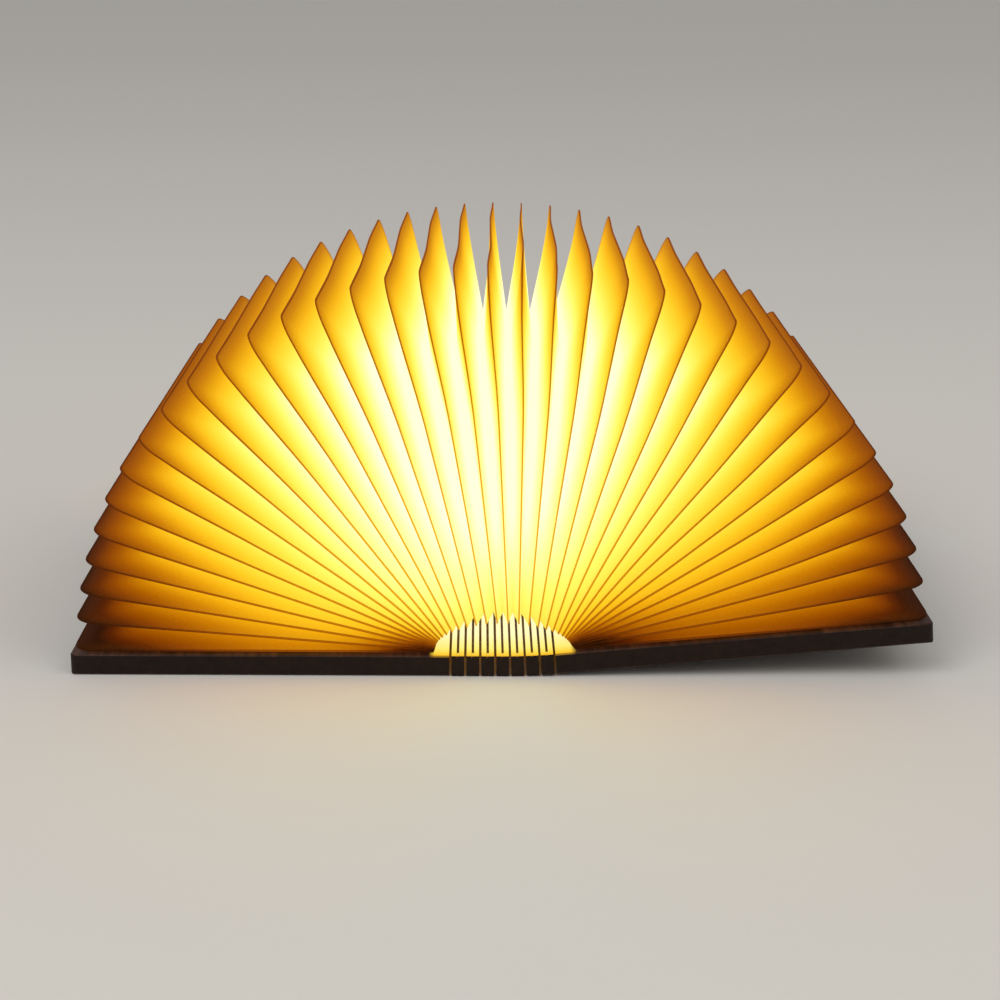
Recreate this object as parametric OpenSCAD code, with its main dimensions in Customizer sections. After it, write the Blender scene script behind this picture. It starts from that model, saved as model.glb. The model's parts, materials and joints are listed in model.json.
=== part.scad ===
// A lamp shaped like a book. Two wooden covers open on a slit hinge, and an accordion
// of paper pages fans out between them over a battery light.
// X runs across the open book, Y from its front edge to its back edge, Z up from the table.
// The origin is on the table, under the middle of the spine.

/* [Covers] */
// Depth of the book along its spine
cover_depth = 142; // [118:1:171]
// Width of one cover, from its hinge slit to its outer edge
cover_width = 109; // [90:1:131]
// Thickness of the wooden board
board_thickness = 6; // [5:0.1:7.2]
// Radius of the outer corners
corner_radius = 2; // [1:0.5:6]
// Chamfer along the outer edges
edge_chamfer = 0.4; // [0.2:0.1:0.8]
// How far the right cover stands up from flat, in degrees
right_tilt = 5.27; // [0:0.01:8]

/* [Hinge] */
// Spacing of the slits
slit_pitch = 2.15; // [1.8:0.05:2.6]
// Width of a slit at the middle of the board
slit_width = 0.55; // [0.5:0.05:0.7]
// Extra width on each side of a slit at the faces of the board
slit_flare = 0.08; // [0.07:0.01:0.12]
// Length of a bridge that joins two strips
bridge_length = 2.75; // [2:0.25:5]
// Running gap between a bridge and the next strip
bridge_gap = 0.05; // [0.03:0.01:0.08]
// Running gap at the last slit, where the right cover follows the pages
end_gap = 0.15; // [0.08:0.01:0.2]

/* [Pages] */
// How far the pages stay inside the front and back edges of the covers
page_margin = 3; // [2:0.1:6]
// How far the pages stay inside the outer edges of the covers
page_inset = 0.45; // [0.3:0.05:3]
// Width of the folded band along the three outer sides of a page
band_width = 31; // [26:1:37]
// Radius of the outer corners of a page
page_corner = 6.4; // [4:0.1:9]
// Thickness of the paper
paper_thickness = 0.2; // [0.15:0.01:0.24]
// Gap between the folds of neighbouring pages
page_gap = 0.12; // [0.08:0.01:0.14]
// Distance from the first slit to the inner end of the first page
foot_margin = 6.85; // [5:0.05:9]
// Rise of the arch over the inner ends of the pages
arch_rise = 7.5; // [6.5:0.1:9]
// How far the front ends of the folds reach down into the arch, on an upright page
fold_dip = 6.5; // [0:0.1:7]
// How far the front ends of the glued edges reach down there
edge_dip = 1.2; // [0:0.1:2.5]

/* [Light] */
// Width of the light box across the cover
box_width = 45; // [37.5:0.5:54]
// Clearance between the light box and the folds in front of it and behind it
box_clearance = 3; // [2.5:0.1:6]
// Height of the walls of the light box
box_height = 10.2; // [9.6:0.1:12]
// Wall of the light box
box_wall = 1.4; // [1:0.1:2]
// Floor of the light box
box_floor = 1.2; // [1:0.1:1.6]
// Thickness of the diffuser
diffuser_thickness = 1.2; // [0.8:0.1:1.6]
// Thickness of the battery
battery_thickness = 5; // [4:0.1:5.6]
// Bore of the charging socket
socket_bore = 3.5; // [3:0.1:4]
// Diameter of a cover magnet
magnet_diameter = 8; // [6:0.5:10]
// Thickness of a cover magnet
magnet_thickness = 2; // [1.5:0.1:3]

/* [Hidden] */
$fn = 48;

wood = "#5b3a22";
paper = "#fbe7a8";
case_white = "#ecebe6";
steel = "#b9bdc2";

// The hinge: 15 slits leave 14 strips, and the book lies flat up to the slit before the
// middle one. Shut, every slit is folded by the same angle.
slit_count = 15;
flat_slits = 7;
slit_fold = 180 / slit_count;
half_slit = slit_width / 2;
half_board = board_thickness / 2;
hinge_half = (slit_count - 1) / 2 * slit_pitch;
cover_top = board_thickness;

// The ring that the slits lie on when the book is shut, and the space that it leaves inside
ring_radius = slit_pitch / (2 * sin(slit_fold / 2));
ring_x = -hinge_half - ring_radius * sin(slit_fold / 2);
ring_z = half_board + ring_radius * cos(slit_fold / 2);
ring_clear = ring_radius * cos(slit_fold / 2) - half_board;

// How far a bridge reaches past its slit's middle, and how high its root may be
function bridge_reach(s) = half_slit - (s == slit_count ? end_gap : bridge_gap);
function bridge_root(s) = (bridge_reach(s) + half_slit) / tan(slit_fold);

page_depth = cover_depth - 2 * page_margin;
page_length = cover_width - foot_margin - page_inset;

// The fan: swing of the pages away from even steps, in degrees, and shape of the arch that
// their inner ends follow, as shares of its half width and of its rise
page_count = 36;
fan_waves = [2.57, -3.97, 0.43, 2.10];
arch_x_waves = [0, -0.3685, 0, 0.0676];
arch_z_waves = [1, 0, -0.196, 0, 0.044];
arch_half = hinge_half + foot_margin;
half_gap = page_gap / 2;
// Narrowest slot left between the two sides of one page
fold_slot = 0.03;
// Length of the glued seam along a page's outer edge
seam_width = 0.5;
valley_corner = 3;
corner_steps = 4;

// The light box stands on the left cover, and its neck runs back under the arch
box_right = ring_x - 0.6;
box_left = box_right - box_width;
box_mid = (box_left + box_right) / 2;
box_corner = 4;
box_length = page_depth - 2 * band_width - 2 * box_clearance;
wall_top = cover_top + box_height;
post_radius = 1.6;
board_clearance = 0.3;
circuit_thickness = 1;
circuit_z = wall_top - circuit_thickness - 1.6;
skirt_depth = 1;
skirt_wall = 1;
neck_clearance = 0.8;
neck_back = cover_depth / 2 - 2;
socket_x = ring_x + 1.4;
socket_z = ring_z - 3.8;
socket_radius = socket_bore / 2 + 0.7;
socket_length = 9;
screw_radius = 0.8;
screw_head_radius = 1.7;
screw_head = 1.1;
screw_length = 4.2;
pilot_gap = 0.05;
screw_in_x = box_width / 2 - box_wall - screw_head_radius - 0.4;
screw_in_y = box_length / 2 - box_wall - screw_head_radius - 1;
battery_width = box_width - 2 * box_wall - 8;
battery_length = box_length - 2 * box_wall - 16;
magnet_inset = 9;
magnet_gap = 0.05;

// ---- Where the pieces of the hinge lie. Piece 0 is the left cover, piece 15 the right.

// Direction of a piece, in degrees up from flat
function piece_angle(k) = right_tilt * max(0, k - flat_slits) / (slit_count - flat_slits);

// Middle of a slit, in X and Z
function pivot(s) = s == 1
    ? [-hinge_half, half_board]
    : pivot(s - 1) + slit_pitch * [cos(piece_angle(s - 1)), sin(piece_angle(s - 1))];

// Moves its children from the middle of a slit into the frame of the piece after it
module on_piece(k) {
    p = k == 0 ? pivot(1) : pivot(k);
    translate([p.x, 0, p.y])
        rotate([0, -piece_angle(k), 0])
            children();
}

// An outline in X and Z, drawn out along the spine
module along_spine(length, middle = 0) {
    translate([0, middle, 0])
        rotate([90, 0, 0])
            linear_extrude(length, center = true)
                children();
}

// ---- Where the pages lie

function page_place(i) = (i - 1) / (page_count - 1);
function wave_sum(waves, t, k = 0) = k == len(waves)
    ? 0
    : waves[k] * sin(180 * (k + 1) * t) + wave_sum(waves, t, k + 1);

// Direction of a page, in degrees up from +X
function page_angle(i) = 180 + (right_tilt - 180) * page_place(i)
    + wave_sum(fan_waves, page_place(i));
function out_of(angle) = [cos(angle), sin(angle)];
function up_from(angle) = [-sin(angle), cos(angle)];

first_foot = [-arch_half, cover_top + paper_thickness];
last_foot = pivot(slit_count) + foot_margin * out_of(right_tilt)
    + (half_board + paper_thickness) * up_from(right_tilt);

// Inner end of a page, in X and Z
function page_foot(i) = first_foot + (last_foot - first_foot) * page_place(i)
    + [arch_half * wave_sum(arch_x_waves, page_place(i)),
       arch_rise * wave_sum(arch_z_waves, page_place(i))];

// Distance from a page's middle plane to the fold that it shares with a neighbour, at a
// distance r from its inner end. The outermost sides lie flat on the covers.
function fold_reach(i, other, r) = other < 1 || other > page_count
    ? paper_thickness
    : abs(((page_foot(other) - page_foot(i)
        + r * (out_of(page_angle(other)) - out_of(page_angle(i)))) / 2)
        * up_from(page_angle(i))) - half_gap;

// How far that fold lies further out than the page's own plane says, along the page
function fold_slide(i, other, r) = other < 1 || other > page_count
    ? 0
    : ((page_foot(other) - page_foot(i)
        + r * (out_of(page_angle(other)) - out_of(page_angle(i)))) / 2)
        * out_of(page_angle(i));

// How upright a page stands, from 0 to 1. The dips fade out on the pages that lie low.
function upright(i) = pow(sin(page_angle(i)), 2);

// Stations round a page: [outer r, outer y, fold r, fold y, share of the dips], from the
// front inner end round both corners to the back inner end
function corner_station(a, side) = [
    page_length - page_corner + page_corner * sin(a),
    side * (page_depth / 2 - page_corner + page_corner * cos(a)),
    page_length - band_width - valley_corner + valley_corner * sin(a),
    side * (page_depth / 2 - band_width - valley_corner + valley_corner * cos(a)),
    0
];
function page_stations() = concat(
    [[0, -page_depth / 2, 0, -page_depth / 2 + band_width, 1]],
    [for (n = [0:corner_steps]) corner_station(90 * n / corner_steps, -1)],
    [for (n = [corner_steps:-1:0]) corner_station(90 * n / corner_steps, 1)],
    [[0, page_depth / 2, 0, page_depth / 2 - band_width, 0]]
);

// A point of a page, from its distance out, its place along the spine and its height
function page_point(i, r, y, h) =
    let (p = page_foot(i) + r * out_of(page_angle(i)) + h * up_from(page_angle(i)))
    [p.x, y, p.y];

// The seven points of a page's cross-section at one station: outer edge, fold and glued
// seam on the side of the page before it, then the same on the side of the page after it
function page_section(i, s) =
    let (
        r_edge = s[0] - s[4] * edge_dip * upright(i),
        r_before = s[2] - s[4] * fold_dip * upright(i - 0.5),
        r_after = s[2] - s[4] * fold_dip * upright(i + 0.5),
        before = fold_reach(i, i - 1, r_before),
        after = fold_reach(i, i + 1, r_after),
        slide_before = fold_slide(i, i - 1, r_before),
        slide_after = fold_slide(i, i + 1, r_after),
        edge_before = min(paper_thickness, fold_reach(i, i - 1, r_edge)),
        edge_after = min(paper_thickness, fold_reach(i, i + 1, r_edge)),
        inside_before = max(fold_slot, before - paper_thickness),
        inside_after = max(fold_slot, after - paper_thickness),
        share = seam_width / band_width,
        r_fold = (r_before + r_after) / 2,
        seam = [r_edge + share * (r_fold - r_edge), s[1] + share * (s[3] - s[1])]
    )
    [
        page_point(i, r_edge, s[1], edge_before),
        page_point(i, r_before + slide_before, s[3], before),
        page_point(i, r_before + slide_before, s[3], inside_before),
        page_point(i, seam.x, seam.y, 0),
        page_point(i, r_after + slide_after, s[3], -inside_after),
        page_point(i, r_after + slide_after, s[3], -after),
        page_point(i, r_edge, s[1], -edge_after)
    ];

// ---- Covers and hinge

// One side of a slit, wider at the faces of the board than in its middle
function slit_side(x, way) = [
    [x + way * slit_flare, -half_board], [x, 0], [x + way * slit_flare, half_board]
];

// Board of a cover, from its hinge slit outwards
module cover_board() {
    intersection() {
        along_spine(cover_depth)
            polygon(concat(
                slit_side(half_slit, 1),
                [[cover_width - edge_chamfer, half_board], [cover_width, half_board - edge_chamfer],
                 [cover_width, edge_chamfer - half_board], [cover_width - edge_chamfer, -half_board]]
            ));
        translate([0, 0, -half_board])
            linear_extrude(board_thickness)
                cover_outline();
        rotate([90, 0, 90])
            linear_extrude(cover_width)
                polygon([
                    [-cover_depth / 2, edge_chamfer - half_board],
                    [-cover_depth / 2, half_board - edge_chamfer],
                    [edge_chamfer - cover_depth / 2, half_board],
                    [cover_depth / 2 - edge_chamfer, half_board],
                    [cover_depth / 2, half_board - edge_chamfer],
                    [cover_depth / 2, edge_chamfer - half_board],
                    [cover_depth / 2 - edge_chamfer, -half_board],
                    [edge_chamfer - cover_depth / 2, -half_board]
                ]);
    }
}

// Plan of a cover, square at the hinge and round at the outer corners
module cover_outline() {
    translate([0, -cover_depth / 2])
        square([cover_width - corner_radius, cover_depth]);
    translate([0, corner_radius - cover_depth / 2])
        square([cover_width, cover_depth - 2 * corner_radius]);
    for (side = [-1, 1])
        translate([cover_width - corner_radius, side * (cover_depth / 2 - corner_radius)])
            circle(corner_radius);
}

// Places its children at the magnets of a cover, on the face that shuts
module at_magnets() {
    for (side = [-1, 1])
        translate([cover_width - magnet_inset, side * cover_depth / 3, half_board - magnet_thickness])
            children();
}

module magnet_pockets() {
    at_magnets()
        cylinder(h = magnet_thickness + 1, d = magnet_diameter + 2 * magnet_gap);
}

module magnets() {
    at_magnets()
        cylinder(h = magnet_thickness, d = magnet_diameter);
}

// The bridges over one slit, drawn from its middle. Slits that run out to the edges are
// bridged half way along, and the ones between them at both ends.
module bridges(s) {
    at = s % 2 == 1 ? [0] : [-1, 1];
    for (side = at)
        along_spine(bridge_length, side * (cover_depth - bridge_length) / 2)
            polygon([
                [-half_slit - slit_flare, -bridge_root(s)],
                [-half_slit, -bridge_root(s)],
                [bridge_reach(s), 0],
                [-half_slit, bridge_root(s)],
                [-half_slit - slit_flare, bridge_root(s)]
            ]);
}

// One strip of the hinge
module strip(k) {
    color(wood)
        on_piece(k) {
            along_spine(cover_depth)
                polygon(concat(
                    slit_side(half_slit, 1),
                    [for (n = [2:-1:0]) slit_side(slit_pitch - half_slit, -1)[n]]
                ));
            translate([slit_pitch, 0, 0])
                bridges(k + 1);
        }
}

module left_cover() {
    color(wood)
        difference() {
            on_piece(0) {
                mirror([1, 0, 0])
                    difference() {
                        cover_board();
                        magnet_pockets();
                    }
                bridges(1);
            }
            at_screws()
                translate([0, 0, cover_top - screw_length])
                    cylinder(h = screw_length + 1, r = screw_radius + pilot_gap);
        }
}

module right_cover() {
    color(wood)
        on_piece(slit_count)
            difference() {
                cover_board();
                magnet_pockets();
            }
}

module left_magnets() {
    color(steel)
        on_piece(0)
            mirror([1, 0, 0])
                magnets();
}

module right_magnets() {
    color(steel)
        on_piece(slit_count)
            magnets();
}

// ---- Pages

// One page of the accordion: a glued outer edge on three sides, and from it two sides
// that part towards the folds shared with the pages next to it. Both skins of a side are
// cut along the same diagonal, and the back half mirrors the front half.
module page(i) {
    stations = page_stations();
    rings = len(stations);
    sides = 7;
    color(paper)
        polyhedron(
            points = [for (s = stations) each page_section(i, s)],
            faces = concat(
                page_cap(0, true),
                page_cap((rings - 1) * sides, false),
                [for (n = [0:rings - 2], k = [0:sides - 1]) each
                    let (
                        a = n * sides + k,
                        b = n * sides + (k + 1) % sides,
                        c = a + sides,
                        d = b + sides,
                        inner_or_after = k == 2 || k == 5
                    )
                    inner_or_after != (2 * n >= rings)
                        ? [[a, c, d], [a, d, b]]
                        : [[a, c, b], [b, c, d]]]
            )
        );
}

// The two sides of a cross-section, as triangles that meet at the glued seam
function page_cap(first, front) = [
    for (t = [[0, 1, 3], [1, 2, 3], [0, 3, 6], [3, 4, 5], [3, 5, 6]])
        front ? [first + t[0], first + t[1], first + t[2]]
              : [first + t[2], first + t[1], first + t[0]]
];

// ---- Light

// Places its children at the four screws that hold the light box down
module at_screws() {
    for (x = [-1, 1], y = [-1, 1])
        translate([box_mid + x * screw_in_x, y * screw_in_y, 0])
            children();
}

// Plan of the light box, smaller by an inset on every side
module box_outline(inset) {
    r = box_corner - inset;
    w = box_width / 2 - inset;
    l = box_length / 2 - inset;
    translate([box_mid, 0]) {
        square([2 * w, 2 * (l - r)], center = true);
        square([2 * (w - r), 2 * l], center = true);
        for (x = [-1, 1], y = [-1, 1])
            translate([x * (w - r), y * (l - r)])
                circle(r);
    }
}

// Cross-section of the neck: it clears the inner ends of the pages above it, and the
// strips of the hinge when they fold up round it
module neck_body() {
    start = box_length / 2 - box_corner;
    length = neck_back - start;
    foot_x = page_foot(1).x + 1.6;
    roof = [for (i = [6:14])
        page_foot(i) - neck_clearance * out_of(page_angle(i))];
    top = roof[len(roof) - 1].y;
    intersection() {
        along_spine(length, start + length / 2)
            polygon(concat(
                [[0, cover_top], [foot_x, cover_top]],
                [[foot_x, roof[0].y - 1]],
                roof,
                [[0, top]]
            ));
        union() {
            along_spine(2 * length, start + length / 2)
                translate([ring_x - arch_half, cover_top])
                    square([arch_half, 3 * box_height]);
            translate([ring_x, start - 1, ring_z])
                rotate([-90, 0, 0])
                    cylinder(h = length + 2, r = ring_clear - neck_clearance / 2);
        }
    }
}

// Space for the charging socket in the end of the neck
module socket_hole(radius, depth) {
    translate([socket_x, neck_back + 1, socket_z])
        rotate([90, 0, 0])
            cylinder(h = depth + 1, r = radius);
}

module light_base() {
    color(case_white) {
        difference() {
            union() {
                translate([0, 0, cover_top])
                    linear_extrude(box_height)
                        box_outline(0);
                neck_body();
            }
            translate([0, 0, cover_top + box_floor])
                linear_extrude(box_height)
                    box_outline(box_wall);
            socket_hole(socket_radius + magnet_gap, socket_length);
            wire_channel();
            at_screws()
                translate([0, 0, cover_top - 1])
                    cylinder(h = box_floor + 2, r = screw_radius + 2 * pilot_gap);
        }
        circuit_posts();
    }
}

// Passage for the charging wires, from the socket into the box
module wire_channel() {
    inside = box_length / 2 - box_wall - 6;
    translate([box_right - box_wall - 2, inside, socket_z - 1])
        cube([socket_x - box_right + box_wall + 3, 3, 2]);
    translate([socket_x - 1, inside, socket_z - 1])
        cube([2, neck_back - socket_length - inside + 1, 2]);
}

// Posts that the circuit board rests on
module circuit_posts() {
    for (x = [-1, 1], y = [-1, 1])
        translate([box_mid + x * (screw_in_x + 0.4), y * box_length / 4, cover_top + box_floor / 2])
            cylinder(h = circuit_z - cover_top - box_floor / 2, r = post_radius);
}

// Frosted lid over the lamps, with a skirt that locates it inside the walls
module light_diffuser() {
    color("#fff8e2")
        translate([0, 0, wall_top]) {
            linear_extrude(diffuser_thickness)
                box_outline(0);
            translate([0, 0, -skirt_depth])
                linear_extrude(skirt_depth)
                    difference() {
                        box_outline(box_wall + 0.1);
                        box_outline(box_wall + 0.1 + skirt_wall);
                    }
        }
}

// Circuit board with its lamps in rows
module led_board() {
    rows = 3;
    columns = 6;
    lamp = [3.5, 2.8, 0.8];
    color("#f4f4f0")
        translate([0, 0, circuit_z])
            linear_extrude(circuit_thickness)
                box_outline(box_wall + board_clearance);
    color("#ffd45c")
        for (a = [0:rows - 1], b = [0:columns - 1])
            translate([
                box_mid + (a - (rows - 1) / 2) * box_width / 4,
                (b - (columns - 1) / 2) * box_length / 7.5,
                circuit_z + circuit_thickness + lamp.z / 2
            ])
                cube(lamp, center = true);
}

// Flat pouch battery, round along its long sides
module battery() {
    r = battery_thickness / 2;
    color("#8f9499")
        translate([box_mid, 0, cover_top + box_floor + r])
            rotate([90, 0, 0])
                linear_extrude(battery_length, center = true) {
                    square([battery_width - 2 * r, 2 * r], center = true);
                    for (side = [-1, 1])
                        translate([side * (battery_width / 2 - r), 0])
                            circle(r);
                }
}

// Round charging socket with its centre pin
module charge_socket() {
    pin_radius = 0.65;
    color(steel)
        translate([socket_x, neck_back, socket_z])
            rotate([90, 0, 0]) {
                difference() {
                    cylinder(h = socket_length, r = socket_radius);
                    translate([0, 0, -1])
                        cylinder(h = socket_length - 1, r = socket_bore / 2);
                }
                translate([0, 0, 1])
                    cylinder(h = socket_length - 2, r = pin_radius);
            }
}

module base_screws() {
    color(steel)
        at_screws() {
            translate([0, 0, cover_top - screw_length + 0.3])
                cylinder(h = screw_length + box_floor - 0.3, r = screw_radius);
            translate([0, 0, cover_top + box_floor])
                cylinder(h = screw_head, r1 = screw_head_radius, r2 = screw_head_radius * 0.7);
        }
}

left_cover();
strip(1);  // strip_01
strip(2);  // strip_02
strip(3);  // strip_03
strip(4);  // strip_04
strip(5);  // strip_05
strip(6);  // strip_06
strip(7);  // strip_07
strip(8);  // strip_08
strip(9);  // strip_09
strip(10);  // strip_10
strip(11);  // strip_11
strip(12);  // strip_12
strip(13);  // strip_13
strip(14);  // strip_14
right_cover();
page(1);  // page_01
page(2);  // page_02
page(3);  // page_03
page(4);  // page_04
page(5);  // page_05
page(6);  // page_06
page(7);  // page_07
page(8);  // page_08
page(9);  // page_09
page(10);  // page_10
page(11);  // page_11
page(12);  // page_12
page(13);  // page_13
page(14);  // page_14
page(15);  // page_15
page(16);  // page_16
page(17);  // page_17
page(18);  // page_18
page(19);  // page_19
page(20);  // page_20
page(21);  // page_21
page(22);  // page_22
page(23);  // page_23
page(24);  // page_24
page(25);  // page_25
page(26);  // page_26
page(27);  // page_27
page(28);  // page_28
page(29);  // page_29
page(30);  // page_30
page(31);  // page_31
page(32);  // page_32
page(33);  // page_33
page(34);  // page_34
page(35);  // page_35
page(36);  // page_36
light_base();
light_diffuser();
led_board();
battery();
charge_socket();
base_screws();
left_magnets();
right_magnets();
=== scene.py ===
"""A book lamp: walnut covers on a slit hinge, and an accordion of paper lit from within."""
import json
import math

import bpy
from mathutils import Matrix, Vector


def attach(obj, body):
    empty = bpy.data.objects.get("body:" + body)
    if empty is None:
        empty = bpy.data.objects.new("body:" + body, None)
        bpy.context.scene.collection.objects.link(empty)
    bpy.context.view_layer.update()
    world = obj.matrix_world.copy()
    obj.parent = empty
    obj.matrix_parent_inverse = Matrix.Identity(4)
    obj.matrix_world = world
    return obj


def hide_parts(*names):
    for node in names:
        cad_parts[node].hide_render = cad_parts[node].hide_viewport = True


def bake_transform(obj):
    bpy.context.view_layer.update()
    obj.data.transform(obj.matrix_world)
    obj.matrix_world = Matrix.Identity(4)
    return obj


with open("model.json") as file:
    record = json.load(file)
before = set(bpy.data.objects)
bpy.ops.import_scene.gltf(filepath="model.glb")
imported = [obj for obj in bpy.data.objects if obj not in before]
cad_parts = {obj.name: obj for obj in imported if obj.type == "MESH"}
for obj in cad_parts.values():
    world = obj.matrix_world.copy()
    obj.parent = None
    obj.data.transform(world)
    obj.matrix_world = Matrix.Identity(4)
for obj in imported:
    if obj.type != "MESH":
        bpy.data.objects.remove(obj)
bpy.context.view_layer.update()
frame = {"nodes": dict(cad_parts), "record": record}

MM = 0.001


# ---- Camera and light

# The camera's downward tilt, turn and lean in degrees, its place in metres and its lens in mm
PITCH, YAW, ROLL = 15.98, -0.653, 0.464
CAMERA_PLACE = (-0.00756, -0.6323, 0.2134)
LENS = 74.909
# The lights face a point in the middle of the pages
LIT_POINT = Vector((0, 0, 0.04))


def place_camera():
    """A long lens in front of the book, a little above it."""
    pitch, yaw, roll = (math.radians(a) for a in (PITCH, YAW, ROLL))
    across = Vector((math.cos(yaw), math.sin(yaw), 0))
    ahead_flat = Vector((-math.sin(yaw), math.cos(yaw), 0))
    ahead = math.cos(pitch) * ahead_flat - math.sin(pitch) * Vector((0, 0, 1))
    up = math.sin(pitch) * ahead_flat + math.cos(pitch) * Vector((0, 0, 1))
    axes = Matrix((
        math.cos(roll) * across + math.sin(roll) * up,
        math.cos(roll) * up - math.sin(roll) * across,
        -ahead,
    )).transposed().to_4x4()
    lens = bpy.data.cameras.new("camera")
    lens.sensor_width = 36
    lens.lens = LENS
    lens.clip_start = 0.01
    camera = bpy.data.objects.new("camera", lens)
    camera.matrix_world = Matrix.Translation(CAMERA_PLACE) @ axes
    bpy.context.scene.collection.objects.link(camera)
    bpy.context.scene.camera = camera


def soft_light(name, place, size, power):
    """A large soft panel that faces the book."""
    panel = bpy.data.lights.new(name, "AREA")
    panel.size = size
    panel.energy = power
    light = bpy.data.objects.new(name, panel)
    light.location = place
    light.rotation_euler = (LIT_POINT - Vector(place)).to_track_quat("-Z", "Y").to_euler()
    bpy.context.scene.collection.objects.link(light)


def linear(hex_colour):
    """sRGB hex to linear, with an alpha of 1."""
    parts = [int(hex_colour[k:k + 2], 16) / 255 for k in (1, 3, 5)]
    return [p / 12.92 if p <= 0.04045 else ((p + 0.055) / 1.055) ** 2.4 for p in parts] + [1]


def add(tree, kind, inputs=None, stops=None, **settings):
    """Adds a node, sets it, and fills or links its sockets."""
    node = tree.nodes.new("ShaderNode" + kind)
    for name, value in settings.items():
        setattr(node, name, value)
    for k, (place, colour) in enumerate(stops or ()):
        marks = node.color_ramp.elements
        mark = marks[k] if k < 2 else marks.new(place)
        mark.position, mark.color = place, linear(colour)
    for name, value in (inputs or {}).items():
        if isinstance(value, bpy.types.NodeSocket):
            tree.links.new(value, node.inputs[name])
        else:
            node.inputs[name].default_value = value
    return node


def new_material(name):
    """An empty material, its node tree and its shader, already linked to the output."""
    material = bpy.data.materials.new(name)
    material.use_nodes = True
    tree = material.node_tree
    tree.nodes.clear()
    shader = add(tree, "BsdfPrincipled")
    add(tree, "OutputMaterial", {"Surface": shader.outputs["BSDF"]})
    return material, tree, shader


def new_piece(name, points, faces, material):
    """An object in the scene, with a mesh of this material. Its points are in metres."""
    mesh = bpy.data.meshes.new(name)
    mesh.from_pydata(points, [], faces)
    mesh.materials.append(material)
    piece = bpy.data.objects.new(name, mesh)
    bpy.context.scene.collection.objects.link(piece)
    return piece


# ---- Materials

def matt_table():
    """A pale matt table top, almost without texture, so that only shadows show on it."""
    material, tree, shader = new_material("matt_table")
    shader.inputs["Base Color"].default_value = linear("#dfdbd4")
    shader.inputs["Roughness"].default_value = 0.85
    return material


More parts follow.
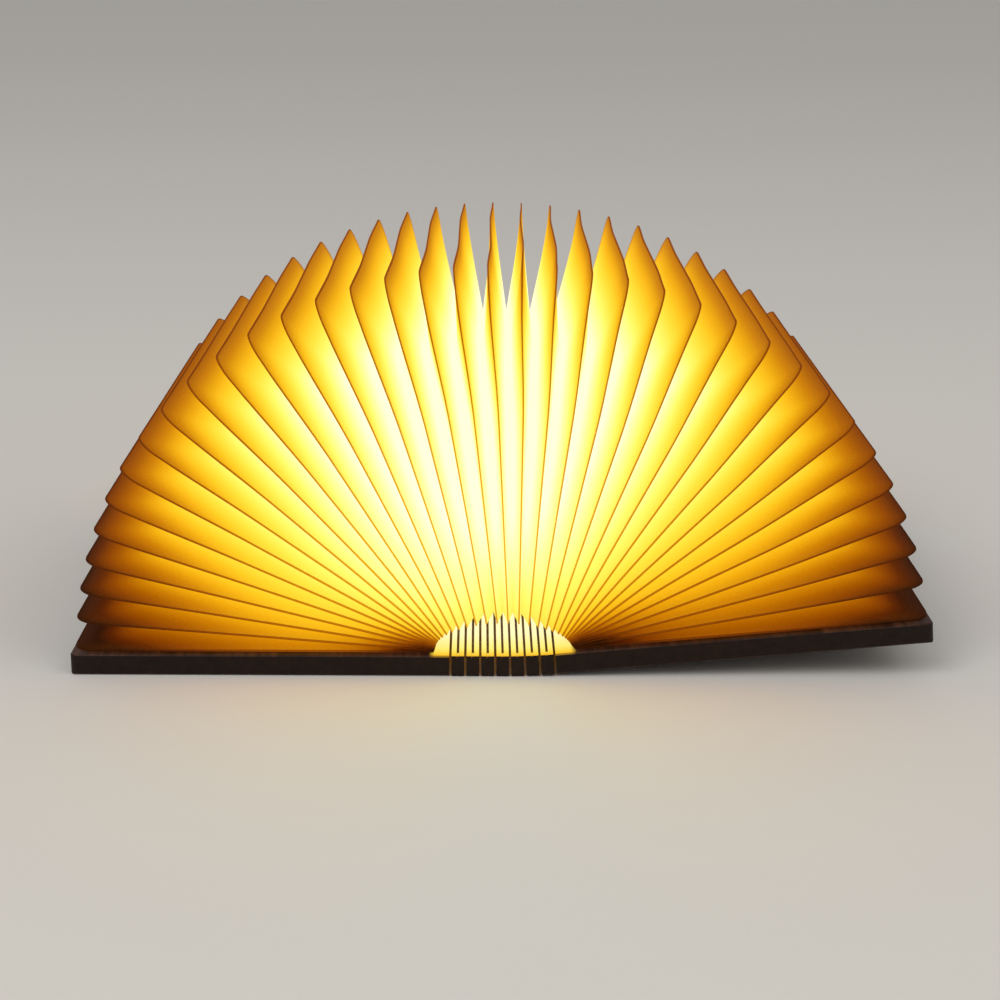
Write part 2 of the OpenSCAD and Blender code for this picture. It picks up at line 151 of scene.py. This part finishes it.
def oiled_walnut():
    """Walnut veneer board with a thin coat of oil. Long brown grain runs along the spine, the faces
    that the laser cut are scorched nearly black, and lamplight on the strips is painted as a glow."""
    material, tree, shader = new_material("oiled_walnut")
    where = add(tree, "TexCoord").outputs
    # Grain lines about 2 mm apart, drawn out along the spine
    along = add(tree, "Mapping", {"Vector": where["Object"], "Scale": (800, 26, 300)})
    grain = add(tree, "TexNoise", {
        "Vector": along.outputs["Vector"], "Scale": 0.6, "Detail": 6, "Roughness": 0.6})
    brown = add(tree, "ValToRGB", {"Fac": grain.outputs["Fac"]},
                [(0.30, "#2a170d"), (0.52, "#4a2b19"), (0.72, "#643f27")])
    # Figure: darker and lighter streaks about 11 mm wide
    wide = add(tree, "Mapping", {"Vector": where["Object"], "Scale": (90, 7, 40)})
    streaks = add(tree, "TexNoise", {
        "Vector": wide.outputs["Vector"], "Scale": 1.0, "Detail": 4, "Distortion": 1.2})
    figure = add(tree, "ValToRGB", {"Fac": streaks.outputs["Fac"]},
                 [(0.35, "#a08c7e"), (0.65, "#ffffff")])
    face = add(tree, "Mix", {0: 1.0, 6: brown.outputs["Color"], 7: figure.outputs["Color"]},
               data_type="RGBA", blend_type="MULTIPLY")
    # Soot on the cut faces, uneven every 2 mm
    smoke = add(tree, "TexNoise", {"Vector": where["Object"], "Scale": 500, "Detail": 5})
    soot = add(tree, "ValToRGB", {"Fac": smoke.outputs["Fac"]},
               [(0.3, "#120703"), (0.7, "#211007")])
    turned = add(tree, "SeparateXYZ", {"Vector": where["Normal"]})
    level = add(tree, "Math", {0: turned.outputs["Z"]}, operation="ABSOLUTE")
    flat = add(tree, "MapRange", {"Value": level.outputs[0], "From Min": 0.45, "From Max": 0.8})
    skin = add(tree, "Mix", {0: flat.outputs[0], 6: soot.outputs["Color"], 7: face.outputs[2]},
               data_type="RGBA")
    tree.links.new(skin.outputs[2], shader.inputs["Base Color"])
    # Painted lamplight: a glow on the upward faces under the arch. It fades out 19.6 to 21.2 mm
    # to each side of the spine and turns deeper towards the front and back edges
    place = add(tree, "SeparateXYZ", {"Vector": where["Object"]})
    aside = add(tree, "Math", {0: place.outputs["X"]}, operation="ABSOLUTE")
    under = add(tree, "MapRange", {
        "Value": aside.outputs[0], "From Min": 0.0212, "From Max": 0.0196})
    upward = add(tree, "MapRange", {
        "Value": turned.outputs["Z"], "From Min": 0.6, "From Max": 0.9})
    painted_light_reach = add(tree, "Math", {0: under.outputs[0], 1: upward.outputs[0]}, operation="MULTIPLY")
    forward = add(tree, "Math", {0: place.outputs["Y"]}, operation="ABSOLUTE")
    inward = add(tree, "MapRange", {
        "Value": forward.outputs[0], "From Min": 0.0715, "From Max": 0.052})
    warm = add(tree, "ValToRGB", {"Fac": inward.outputs[0]},
               [(0.0, "#eaa81c"), (0.12, "#f8cc34"), (0.35, "#fcea74"), (1.0, "#fcf6bc")])
    # A little of the painted lamplight, more orange, is also painted down the walls of the slits
    sideways = add(tree, "Math", {0: turned.outputs["X"]}, operation="ABSOLUTE")
    wall = add(tree, "MapRange", {
        "Value": sideways.outputs[0], "From Min": 0.6, "From Max": 0.9})
    painted_light_tint = add(tree, "Mix", {0: wall.outputs[0], 6: warm.outputs["Color"], 7: linear("#e0782a")},
               data_type="RGBA")
    tree.links.new(painted_light_tint.outputs[2], shader.inputs["Emission Color"])
    painted_slit_spill = add(tree, "Math", {0: wall.outputs[0], 1: under.outputs[0]}, operation="MULTIPLY")
    painted_light_strength = add(tree, "Math", {0: painted_slit_spill.outputs[0], 1: 0.13, 2: painted_light_reach.outputs[0]},
                operation="MULTIPLY_ADD")
    tree.links.new(painted_light_strength.outputs[0], shader.inputs["Emission Strength"])
    pores = add(tree, "Bump", {
        "Height": grain.outputs["Fac"], "Strength": 0.25, "Distance": 0.0002})
    tree.links.new(pores.outputs["Normal"], shader.inputs["Normal"])
    shader.inputs["Roughness"].default_value = 0.5
    shader.inputs["Specular IOR Level"].default_value = 0.2
    return material


def spun_paper():
    """Spun paper, uncoated and matt, with the lamp behind it. Where much light comes through,
    the sheet is nearly white; with less light it turns yellow, amber and brown."""
    material, tree, shader = new_material("spun_paper")
    # The "glow" map holds how brightly each spot is lit, from 0 to 1
    spot = add(tree, "UVMap", uv_map="glow")
    lit = add(tree, "SeparateXYZ", {"Vector": spot.outputs["UV"]})
    # Fibres 0.4 mm wide and 1.4 mm long, drawn coarser than they are so that they show
    sheet = add(tree, "UVMap", uv_map="sheet")
    drawn = add(tree, "Mapping", {"Vector": sheet.outputs["UV"], "Scale": (700, 2400, 1)})
    fibres = add(tree, "TexNoise", {"Vector": drawn.outputs["Vector"], "Scale": 1.0, "Detail": 4})
    uneven = add(tree, "Math", {0: fibres.outputs["Fac"], 1: 0.09, 2: -0.045},
                 operation="MULTIPLY_ADD")
    light = add(tree, "Math", {0: lit.outputs["X"], 1: uneven.outputs[0]}, operation="ADD")
    glow = add(tree, "ValToRGB", {"Fac": light.outputs[0]}, [
        (0.0, "#240b00"), (0.10, "#541f00"), (0.20, "#823e00"), (0.30, "#a05a00"),
        (0.40, "#be7a04"), (0.50, "#daa20e"), (0.60, "#eac022"), (0.70, "#f0d440"),
        (0.80, "#f2e468"), (0.90, "#f4f0a0"), (1.0, "#f6f3d4"),
    ])
    tree.links.new(glow.outputs["Color"], shader.inputs["Emission Color"])
    shader.inputs["Emission Strength"].default_value = 1
    # The sheet's colour under room light, with painted shade: darker where less lamplight comes
    # through, and muted because the glow comes on top of it
    body = add(tree, "ValToRGB", {"Fac": light.outputs[0]}, [
        (0.0, "#2c1402"), (0.25, "#5a3004"), (0.5, "#845e0c"), (0.75, "#927e2a"), (1.0, "#949060"),
    ])
    tree.links.new(body.outputs["Color"], shader.inputs["Base Color"])
    tooth = add(tree, "Bump", {
        "Height": fibres.outputs["Fac"], "Strength": 0.15, "Distance": 0.0001})
    tree.links.new(tooth.outputs["Normal"], shader.inputs["Normal"])
    shader.inputs["Roughness"].default_value = 0.92
    shader.inputs["Specular IOR Level"].default_value = 0.08
    return material


def moulded_abs():
    """White ABS, moulded with a fine matt spark texture."""
    material, tree, shader = new_material("moulded_abs")
    where = add(tree, "TexCoord").outputs
    # Spark grit of 0.3 mm
    grit = add(tree, "TexNoise", {"Vector": where["Object"], "Scale": 3300, "Detail": 2})
    shade = add(tree, "ValToRGB", {"Fac": grit.outputs["Fac"]},
                [(0.3, "#dedcd4"), (0.7, "#eceae4")])
    tree.links.new(shade.outputs["Color"], shader.inputs["Base Color"])
    dents = add(tree, "Bump", {"Height": grit.outputs["Fac"], "Strength": 0.2, "Distance": 0.0001})
    tree.links.new(dents.outputs["Normal"], shader.inputs["Normal"])
    shader.inputs["Roughness"].default_value = 0.5
    return material


def frosted_acrylic():
    """Opal acrylic over the lamps: a warm white glow, slightly cloudy."""
    material, tree, shader = new_material("frosted_acrylic")
    where = add(tree, "TexCoord").outputs
    # Clouds about 17 mm across
    mist = add(tree, "TexNoise", {"Vector": where["Object"], "Scale": 60, "Detail": 1})
    warm = add(tree, "ValToRGB", {"Fac": mist.outputs["Fac"]}, [(0.3, "#ffeeb4"), (0.7, "#fff8dc")])
    tree.links.new(warm.outputs["Color"], shader.inputs["Base Color"])
    tree.links.new(warm.outputs["Color"], shader.inputs["Emission Color"])
    shader.inputs["Emission Strength"].default_value = 6
    shader.inputs["Roughness"].default_value = 0.6
    return material


def metal(name, low, high, rough, scratches):
    """Drawn or plated metal, with fine scratches that break up its shine."""
    material, tree, shader = new_material(name)
    where = add(tree, "TexCoord").outputs
    drawn = add(tree, "Mapping", {"Vector": where["Object"], "Scale": scratches})
    lines = add(tree, "TexNoise", {"Vector": drawn.outputs["Vector"], "Scale": 1, "Detail": 3})
    shade = add(tree, "ValToRGB", {"Fac": lines.outputs["Fac"]}, [(0.3, low), (0.7, high)])
    tree.links.new(shade.outputs["Color"], shader.inputs["Base Color"])
    fine = add(tree, "Bump", {"Height": lines.outputs["Fac"], "Strength": 0.1, "Distance": 0.00005})
    tree.links.new(fine.outputs["Normal"], shader.inputs["Normal"])
    shader.inputs["Metallic"].default_value = 1
    shader.inputs["Roughness"].default_value = rough
    return material


def glass_epoxy():
    """White solder mask over glass cloth, whose weave shows faintly."""
    material, tree, shader = new_material("glass_epoxy")
    where = add(tree, "TexCoord").outputs
    # Threads 1 mm apart, drawn coarser than they are so that they show
    weave = add(tree, "TexWave", {"Vector": where["Object"], "Scale": 320, "Distortion": 0.5})
    shade = add(tree, "ValToRGB", {"Fac": weave.outputs["Fac"]},
                [(0.2, "#e4e3da"), (0.8, "#f2f1ea")])
    tree.links.new(shade.outputs["Color"], shader.inputs["Base Color"])
    shader.inputs["Roughness"].default_value = 0.35
    return material


def pouch_foil():
    """The grey laminated foil of a flat battery, softly wrinkled about every 4 mm."""
    material, tree, shader = new_material("pouch_foil")
    where = add(tree, "TexCoord").outputs
    wrinkle = add(tree, "TexNoise", {"Vector": where["Object"], "Scale": 240, "Detail": 3})
    shade = add(tree, "ValToRGB", {"Fac": wrinkle.outputs["Fac"]},
                [(0.3, "#84888c"), (0.7, "#9da1a5")])
    tree.links.new(shade.outputs["Color"], shader.inputs["Base Color"])
    dents = add(tree, "Bump", {
        "Height": wrinkle.outputs["Fac"], "Strength": 0.5, "Distance": 0.0005})
    tree.links.new(dents.outputs["Normal"], shader.inputs["Normal"])
    shader.inputs["Metallic"].default_value = 0.6
    shader.inputs["Roughness"].default_value = 0.4
    return material


def give(node, material):
    """Gives a carried-over node its material."""
    mesh = frame["nodes"][node].data
    mesh.materials.clear()
    mesh.materials.append(material)


# ---- Where the pages lie, as the covers and the hinge set them, in millimetres

PAGES = 36
# A page from its foot to its outer edge and from the middle to its front edge, with its corner
PAGE_LENGTH = 101.7
PAGE_HALF = 68.0
CORNER = 6.4
# The width of paper from the glued edge in to the fold, and the corner of the fold
BAND = 31.0
FOLD_CORNER = 3.0
# The right cover's tilt in degrees, and the arch on which the feet of the pages stand
TILT = 5.27
ARCH_HALF = 21.9
ARCH_RISE = 7.5
FIRST_FOOT = Vector((-21.9, 6.2))
LAST_FOOT = Vector((21.557, 7.507))
# How the fan and the arch depart from even steps, as shares of sine waves
FAN_WAVES = (2.57, -3.97, 0.43, 2.10)
ARCH_X_WAVES = (0, -0.3685, 0, 0.0676)
ARCH_Z_WAVES = (1, 0, -0.196, 0, 0.044)
# How far the front ends of folds and glued edges dip, and how far those of folds come forward
FOLD_DIP = 6.5
EDGE_DIP = 1.2
FOLD_FORWARD = 6.0
# How far the front ends of low pages reach in, and the share by which the two sides differ
LOW_REACH = 1.5
LOW_REACH_LEAN = 0.33
# The twist of a corner, and where it starts and how far on it is full, outward and to a side
CORNER_TWIST = 1.1
TWIST_FROM, TWIST_OVER = 58, 38
TWIST_SIDE_FROM, TWIST_SIDE_OVER = 20, 48


def waves(shares, t):
    """A sum of sine waves that are zero where t is 0 and 1."""
    return sum(s * math.sin(math.pi * (k + 1) * t) for k, s in enumerate(shares))


def page_angle(i):
    """The angle at which page i stands, from 180 degrees on the left to the right cover's tilt."""
    t = (i - 1) / (PAGES - 1)
    return math.radians(180 + (TILT - 180) * t + waves(FAN_WAVES, t))


def out_of(i):
    """The direction from the foot of page i to its outer edge."""
    return Vector((math.cos(page_angle(i)), math.sin(page_angle(i))))


def up_from(i):
    """The direction square to page i, towards the page before it."""
    return Vector((-math.sin(page_angle(i)), math.cos(page_angle(i))))


def page_foot(i):
    """The inner end of page i, on the arch."""
    t = (i - 1) / (PAGES - 1)
    return FIRST_FOOT.lerp(LAST_FOOT, t) + Vector((
        ARCH_HALF * waves(ARCH_X_WAVES, t), ARCH_RISE * waves(ARCH_Z_WAVES, t)))


def page_body(i):
    """The body that carries page i."""
    return {1: "left_cover", PAGES: "right_cover"}.get(i, f"page_{i:02d}")


def path_round(length, half, corner, straight=14, round_steps=6, outer=24):
    """Points (r, y) from the front inner end round both outer corners to the back inner end."""
    front = [((length - corner) * (k / straight), -half) for k in range(straight)]
    bend = [(length - corner + corner * math.sin(a), -half + corner - corner * math.cos(a))
            for a in (math.pi / 2 * k / round_steps for k in range(round_steps))]
    side = [(length, (half - corner) * (2 * k / outer - 1)) for k in range(outer // 2)]
    half_way = front + bend + side
    return half_way + [(length, 0)] + [(r, -y) for r, y in reversed(half_way)]


SEAM_PATH = path_round(PAGE_LENGTH, PAGE_HALF, CORNER)
FOLD_PATH = path_round(PAGE_LENGTH - BAND, PAGE_HALF - BAND, FOLD_CORNER)


def smooth(t):
    """A soft step from 0 to 1."""
    t = min(1, max(0, t))
    return t * t * (3 - 2 * t)


def curl(i, r, y):
    """The outer corners of a page twist a little, the front ones one way and the back ones the
    other, except where a cover is near."""
    outward = smooth((r - TWIST_FROM) / TWIST_OVER)
    sideways = smooth((abs(y) - TWIST_SIDE_FROM) / TWIST_SIDE_OVER)
    reach = outward * sideways * math.sin(page_angle(i))
    return -math.copysign(CORNER_TWIST * reach, y)


def page_point(i, r, y, lift=0.0):
    """A point of page i, at r from its foot and y along the spine."""
    p = page_foot(i) + r * out_of(i) + (lift + curl(i, r, y)) * up_from(i)
    return Vector((p.x, y, p.y))


def fold_point(i, r, y):
    """A point of the fold between page i and the next one."""
    return (page_point(i, r, y) + page_point(i + 1, r, y)) / 2


def dipped(i, row, r, depth):
    """The front ends reach further in: those of upright pages down into the arch, and those of
    low pages towards the middle of the hinge."""
    if row:
        return r
    upright, leaning = math.sin(page_angle(i)), math.cos(page_angle(i))
    inward = LOW_REACH * (1 - upright) * (1 - LOW_REACH_LEAN * leaning)
    return r - depth * upright ** 2 - inward


def fold_forward(i, row, y):
    """The front end of an upright fold also stands a little further forward."""
    return y if row else y - FOLD_FORWARD * math.sin(page_angle(i)) ** 2


# ---- Paper

PAPER = 0.16
# The glued edge: thickness, width, how far it stands out past the sheets, and its share of light
GLUED = 0.4
GLUED_WIDTH = 0.8
GLUED_PROUD = 0.08
GLUED_SHADE = 0.58
# How far a sheet lies off the middle of its glued edge
FLANK = 0.1
# How a sheet bows between its edge and its fold, where 1 is flat
BOW = 1.4
# The number of steps across each sheet, from its glued edge to its fold
ACROSS = 6
SHARES = [k / ACROSS for k in range(ACROSS + 1)]


def brightness(i, r, share):
    """How brightly the lamp shows through a spot of the paper, from 0 to 1. It falls towards
    the outer edges, the lowest pages and the arch, and rises from the glued edge to the fold."""
    upright, leaning = math.sin(page_angle(i)), math.cos(page_angle(i))
    far = r / 100
    standing = 0.725 + 0.464 * math.log(0.435 + upright)
    outward = 0.08 * far - 0.6 * far ** 2
    towards_fold = share * (0.02 + 0.57 * far)
    to_the_right = 0.16 * leaning * (1 - 0.9 * far)
    near_foot = math.exp(-max(0, r) / 12) * (0.124 + 0.628 * (1 - upright))
    return standing + outward + towards_fold - to_the_right - near_foot


def build_sheet(name, grid, levels, material, thickness):
    """A thin sheet through a grid of points, with its "glow" and "sheet" maps."""
    rows, columns = len(grid), len(grid[0])
    points = [p * MM for row in grid for p in row]
    corners = [r * columns + c for r in range(rows - 1) for c in range(columns - 1)]
    faces = [(n, n + 1, n + columns + 1, n + columns) for n in corners]
    piece = new_piece(name, points, faces, material)
    mesh = piece.data
    run = [0.0]
    for r in range(1, rows):
        run.append(run[-1] + (grid[r][0] - grid[r - 1][0]).length * MM)
    glow, sheet = mesh.uv_layers.new(name="glow"), mesh.uv_layers.new(name="sheet")
    for loop in mesh.loops:
        r, c = divmod(loop.vertex_index, columns)
        glow.data[loop.index].uv = (min(1, max(0, levels[r][c])), 0.5)
        sheet.data[loop.index].uv = (run[r], c * BAND / ACROSS * MM)
    for polygon in mesh.polygons:
        polygon.use_smooth = True
    body = piece.modifiers.new("paper", "SOLIDIFY")
    body.thickness = thickness * MM
    body.offset = 0
    return piece


def side_of_page(i, way):
    """The side of page i that parts towards its neighbour on one way (-1 before, +1 after):
    for every step round the page, the points from the seam to the fold and their brightness."""
    normal = Vector((up_from(i).x, 0, up_from(i).y))
    fold_of = i if way > 0 else i - 1
    lines, levels = [], []
    for row, ((r, y), (fold_r, fold_y)) in enumerate(zip(SEAM_PATH, FOLD_PATH)):
        r = dipped(i, row, r, EDGE_DIP)
        fold_r = dipped(fold_of + 0.5, row, fold_r, FOLD_DIP)
        fold_y = fold_forward(fold_of + 0.5, row, fold_y)
        edge = page_point(i, r, y, -way * FLANK)
        out = fold_point(fold_of, fold_r, fold_y) - edge
        apart = out.dot(normal) * normal
        lines.append([edge + s * (out - apart) + s ** BOW * apart for s in SHARES])
        levels.append([brightness(i + way * s / 2, r + s * (fold_r - r), s) for s in SHARES])
    return lines, levels


def gore(i, material):
    """The sheet between two seams: down to the fold and up again."""
    (near, near_lit), (far, far_lit) = side_of_page(i, 1), side_of_page(i + 1, -1)
    grid = [a + b[-2::-1] for a, b in zip(near, far)]
    levels = [a + b[-2::-1] for a, b in zip(near_lit, far_lit)]
    piece = build_sheet(f"gore_{i:02d}", grid, levels, material, PAPER)
    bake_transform(piece)
    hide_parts(f"page_{i:02d}")


def seam(i, material):
    """The glued edge of a page: a narrow double strip round its three outer sides."""
    outer, inner = (path_round(PAGE_LENGTH + past, PAGE_HALF + past, CORNER + past)
                    for past in (GLUED_PROUD, -GLUED_WIDTH))
    grid, levels = [], []
    for row, ((r, y), (inner_r, inner_y)) in enumerate(zip(outer, inner)):
        r, inner_r = dipped(i, row, r, EDGE_DIP), dipped(i, row, inner_r, EDGE_DIP)
        grid.append([page_point(i, r, y), page_point(i, inner_r, inner_y)])
        levels.append([brightness(i, r, 0) * GLUED_SHADE] * 2)
    piece = build_sheet(f"seam_{i:02d}", grid, levels, material, GLUED)
    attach(piece, page_body(i))


def end_leaf(name, i, way, material):
    """The outermost side of the accordion, glued flat to a cover."""
    grid, levels = [], []
    for row, ((r, y), (fold_r, fold_y)) in enumerate(zip(SEAM_PATH, FOLD_PATH)):
        r, fold_r = dipped(i, row, r, EDGE_DIP), dipped(i, row, fold_r, EDGE_DIP)
        edge = page_point(i, r, y, way * FLANK)
        end = page_point(i, fold_r, fold_y, way * FLANK)
        grid.append([edge.lerp(end, s) for s in SHARES])
        levels.append([brightness(i, r + s * (fold_r - r), s) for s in SHARES])
    piece = build_sheet(name, grid, levels, material, PAPER)
    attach(piece, page_body(i))
    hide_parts(f"page_{i:02d}")


# ---- Hinge

SLITS = 15
# The slits that lie flat on the table; the others share the right cover's tilt
FLAT_SLITS = 7
HALF_BOARD = 3.0
HALF_SLIT = 0.275
COVER_HALF = 71.0
BRIDGE_LENGTH = 2.75
# How far a bridge runs into the strips, and the cut of its edges
BRIDGE_ROOT = 0.04
BRIDGE_CUT = 0.12
# Keeps faces that would lie in one plane this far apart
HAIR = 0.01
# The stations along a bridge, on each side of its middle
BEND_STEPS = 3


def bridge(name, slit, start_y, end_y, material):
    """A short bridge of wood between two strips."""
    joints = frame["record"]["behaviour"]["joints"]
    joint = next(j for j in joints if j["name"] == f"slit_{slit:02d}")
    middle = Vector(joint["pos_m"]) / MM
    lean = math.radians(TILT * max(0, slit - 0.5 - FLAT_SLITS) / (SLITS - FLAT_SLITS))
    across = Vector((math.cos(lean), 0, math.sin(lean)))
    up = Vector((-math.sin(lean), 0, math.cos(lean)))
    tall, cut = HALF_BOARD - HAIR, BRIDGE_CUT
    ring = [(start_y, -tall + cut), (start_y + cut, -tall),
            (end_y - cut, -tall), (end_y, -tall + cut),
            (end_y, tall - cut), (end_y - cut, tall),
            (start_y + cut, tall), (start_y, tall - cut)]
    steps = [k / BEND_STEPS * (HALF_SLIT + BRIDGE_ROOT) for k in range(-BEND_STEPS, BEND_STEPS + 1)]
    points = [(middle + x * across + z * up + Vector((0, y, 0))) * MM
              for x in steps for y, z in ring]
    count = len(ring)
    faces = []
    for first in range(0, len(points) - count, count):
        for n in range(count):
            after = (n + 1) % count
            faces.append((first + n, first + after, first + count + after, first + count + n))
    faces += [tuple(reversed(range(count))), tuple(range(len(points) - count, len(points)))]
    piece = new_piece(name, points, faces, material)
    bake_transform(piece)


# ---- The scene

# The table's half width and how far it lies under the covers, in metres
TABLE_HALF = 16
TABLE_DROP = 0.0002

place_camera()
scene = bpy.context.scene
scene.view_settings.view_transform = "Standard"
world = bpy.data.worlds.new("room")
world.use_nodes = True
room = world.node_tree.nodes["Background"]
room.inputs["Color"].default_value = linear("#ffffff")
room.inputs["Strength"].default_value = 0.45
scene.world = world
soft_light("key_panel", (-0.9, -1.1, 1.5), 1.2, 14)
soft_light("fill_panel", (1.3, -0.7, 1.0), 1.4, 6)

sides = [(-1, -1), (1, -1), (1, 1), (-1, 1)]
table_corners = [(x * TABLE_HALF, y * TABLE_HALF, -TABLE_DROP) for x, y in sides]
new_piece("table", table_corners, [(0, 1, 2, 3)], matt_table())

walnut = oiled_walnut()
for node in ["left_cover", "right_cover"] + [f"strip_{k:02d}" for k in range(1, SLITS)]:
    give(node, walnut)
give("light_base", moulded_abs())
give("light_diffuser", frosted_acrylic())
give("led_board", glass_epoxy())
give("battery", pouch_foil())
give("charge_socket", metal("tinned_brass", "#a9aaa6", "#c9cac6", 0.3, (900, 200, 900)))
give("base_screws", metal("zinc_plated_steel", "#9a9da1", "#b9bdc2", 0.35, (1500, 1500, 300)))
plated = metal("nickel_plate", "#a7a49c", "#c6c3ba", 0.25, (500, 500, 500))
give("left_magnets", plated)
give("right_magnets", plated)

paper = spun_paper()
for i in range(1, PAGES):
    gore(i, paper)
for i in range(1, PAGES + 1):
    seam(i, paper)
end_leaf("end_leaf_left", 1, 1, paper)
end_leaf("end_leaf_right", PAGES, -1, paper)

# Odd slits are bridged in the middle and even ones at both ends
for slit in range(1, SLITS):
    name = f"bridge_{slit:02d}"
    if slit % 2:
        bridge(name, slit, -BRIDGE_LENGTH / 2, BRIDGE_LENGTH / 2, walnut)
    else:
        outside, inside = COVER_HALF + HAIR, COVER_HALF - BRIDGE_LENGTH
        bridge(name + "_front", slit, -outside, -inside, walnut)
        bridge(name + "_back", slit, inside, outside, walnut)
